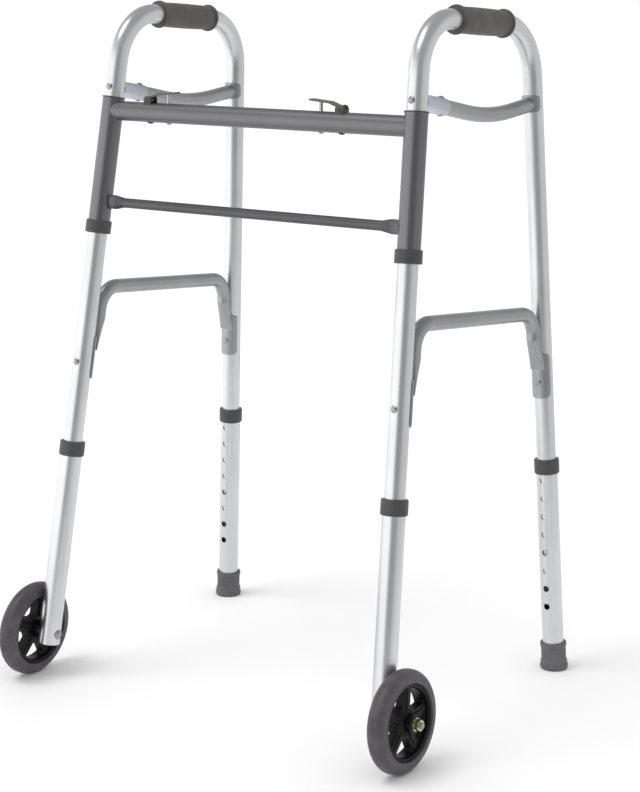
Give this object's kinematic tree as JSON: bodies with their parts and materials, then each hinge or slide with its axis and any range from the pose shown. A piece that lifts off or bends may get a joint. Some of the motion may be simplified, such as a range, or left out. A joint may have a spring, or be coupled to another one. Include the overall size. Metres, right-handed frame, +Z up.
{
  "type": "front wheeled walker",
  "caption": "Folding walking frame with hand grips, height-adjustable legs, wheels on the front legs and rubber tips on the rear legs, for a person who needs support while walking.",
  "frame": {"origin": "on the floor, under the middle of the walker as it stands open", "axes": "+Z up; -Y the way it is walked, so the wheels are at -Y and the rubber tips at +Y; +X is the left hand of the person using it"},
  "size_m": [0.65, 0.4995, 0.897],
  "materials": {
    "satin_tube": "satin anodised",
    "bar_tube": "satin anodised, darker",
    "socket_metal": "satin",
    "dark_paint": "semi-gloss powder coat",
    "dark_plastic": "moulded",
    "grip_rubber": "soft moulded",
    "tip_rubber": "matt",
    "tyre_rubber": "matt",
    "hub_plastic": "moulded",
    "rivet_metal": "bright",
    "zinc_bolt": "yellow zinc plated",
    "pin_steel": "turned",
    "lever_metal": "black, semi-gloss"
  },
  "bodies": {
    "front_frame": {"upper_crossbar": "dark_paint", "lower_crossbar": "dark_paint", "left_sleeve": "dark_paint", "left_sleeve_cap": "dark_plastic", "left_sleeve_ring": "dark_plastic", "left_lever_bracket": "lever_metal", "left_lever_rest": "pin_steel", "left_plunger_housing": "dark_plastic", "right_sleeve": "dark_paint", "right_sleeve_cap": "dark_plastic", "right_sleeve_ring": "dark_plastic", "right_lever_bracket": "lever_metal", "right_lever_rest": "pin_steel", "right_plunger_housing": "dark_plastic"},
    "left_side_frame": {"left_side_tube": "satin_tube", "left_grip": "grip_rubber", "left_bar_socket": "socket_metal", "left_side_bar": "bar_tube", "left_brace": "bar_tube", "left_side_rivets": "rivet_metal"},
    "left_front_leg": {"left_front_extension": "satin_tube", "left_front_collar": "dark_plastic", "left_axle": "pin_steel", "left_axle_nut": "zinc_bolt", "left_axle_spacer": "pin_steel"},
    "left_rear_leg": {"left_rear_extension": "satin_tube", "left_rear_collar": "dark_plastic", "left_rear_tip": "tip_rubber"},
    "left_wheel": {"left_tyre": "tyre_rubber", "left_hub": "hub_plastic", "left_wheel_bush": "pin_steel"},
    "left_release_lever": {"left_lever": "lever_metal"},
    "left_lock_plunger": {"left_plunger": "pin_steel"},
    "left_front_snap": {"left_front_button": "pin_steel"},
    "left_rear_snap": {"left_rear_button": "pin_steel"},
    "right_side_frame": {"right_side_tube": "satin_tube", "right_grip": "grip_rubber", "right_bar_socket": "socket_metal", "right_side_bar": "bar_tube", "right_brace": "bar_tube", "right_side_rivets": "rivet_metal"},
    "right_front_leg": {"right_front_extension": "satin_tube", "right_front_collar": "dark_plastic", "right_axle": "pin_steel", "right_axle_nut": "zinc_bolt", "right_axle_spacer": "pin_steel"},
    "right_rear_leg": {"right_rear_extension": "satin_tube", "right_rear_collar": "dark_plastic", "right_rear_tip": "tip_rubber"},
    "right_wheel": {"right_tyre": "tyre_rubber", "right_hub": "hub_plastic", "right_wheel_bush": "pin_steel"},
    "right_release_lever": {"right_lever": "lever_metal"},
    "right_lock_plunger": {"right_plunger": "pin_steel"},
    "right_front_snap": {"right_front_button": "pin_steel"},
    "right_rear_snap": {"right_rear_button": "pin_steel"}
  },
  "joints": [
    {"name": "left_fold", "type": "hinge", "parent": "front_frame", "child": "left_side_frame", "pos_m": [0.2366, -0.0798, 0.7], "axis": [-0.0469, 0.1632, 0.9855], "range_deg": [0, 82]},
    {"name": "left_front_height", "type": "slide", "parent": "left_side_frame", "child": "left_front_leg", "axis": [0.0469, -0.1632, -0.9855], "range_m": [-0.0762, 0.1016]},
    {"name": "left_rear_height", "type": "slide", "parent": "left_side_frame", "child": "left_rear_leg", "axis": [0.0527, 0.0306, -0.9981], "range_m": [-0.0762, 0.1016]},
    {"name": "left_wheel_turn", "type": "hinge", "parent": "left_front_leg", "child": "left_wheel", "pos_m": [0.29491, -0.18616, 0.06361], "axis": [0.9983, -0.0263, 0.0519], "continuous": true},
    {"name": "left_front_button_press", "type": "slide", "parent": "left_side_frame", "child": "left_front_snap", "axis": [0.0343, 0.9862, -0.1617], "range_m": [0, 0.003], "stiffness_N_per_m": 500},
    {"name": "left_rear_button_press", "type": "slide", "parent": "left_side_frame", "child": "left_rear_snap", "axis": [-0.0246, -0.9992, -0.0319], "range_m": [0, 0.003], "stiffness_N_per_m": 500},
    {"name": "left_release_lift", "type": "hinge", "parent": "front_frame", "child": "left_release_lever", "pos_m": [0.129, -0.07036, 0.7728], "axis": [0, 1, 0], "range_deg": [0, 25], "stiffness_Nm_per_rad": 0.4, "springref_deg": -11.46},
    {"name": "left_plunger_draw", "type": "slide", "parent": "front_frame", "child": "left_lock_plunger", "axis": [-1, 0, 0], "range_m": [0, 0.007]},
    {"name": "right_fold", "type": "hinge", "parent": "front_frame", "child": "right_side_frame", "pos_m": [-0.2366, -0.0798, 0.7], "axis": [-0.0469, -0.1632, -0.9855], "range_deg": [0, 64]},
    {"name": "right_front_height", "type": "slide", "parent": "right_side_frame", "child": "right_front_leg", "axis": [-0.0469, -0.1632, -0.9855], "range_m": [-0.0762, 0.1016]},
    {"name": "right_rear_height", "type": "slide", "parent": "right_side_frame", "child": "right_rear_leg", "axis": [-0.0527, 0.0306, -0.9981], "range_m": [-0.0762, 0.1016]},
    {"name": "right_wheel_turn", "type": "hinge", "parent": "right_front_leg", "child": "right_wheel", "pos_m": [-0.29491, -0.18616, 0.06361], "axis": [-0.9983, -0.0263, 0.0519], "continuous": true},
    {"name": "right_front_button_press", "type": "slide", "parent": "right_side_frame", "child": "right_front_snap", "axis": [-0.0343, 0.9862, -0.1617], "range_m": [0, 0.003], "stiffness_N_per_m": 500},
    {"name": "right_rear_button_press", "type": "slide", "parent": "right_side_frame", "child": "right_rear_snap", "axis": [0.0246, -0.9992, -0.0319], "range_m": [0, 0.003], "stiffness_N_per_m": 500},
    {"name": "right_release_lift", "type": "hinge", "parent": "front_frame", "child": "right_release_lever", "pos_m": [-0.169, -0.07036, 0.7728], "axis": [0, -1, 0], "range_deg": [0, 25], "stiffness_Nm_per_rad": 0.4, "springref_deg": -11.46},
    {"name": "right_plunger_draw", "type": "slide", "parent": "front_frame", "child": "right_lock_plunger", "axis": [1, 0, 0], "range_m": [0, 0.007]}
  ],
  "couplings": [
    {"joint": "left_plunger_draw", "follows": "left_release_lift", "m_per_rad": 0.0158},
    {"joint": "right_plunger_draw", "follows": "right_release_lift", "m_per_rad": 0.0158}
  ]
}
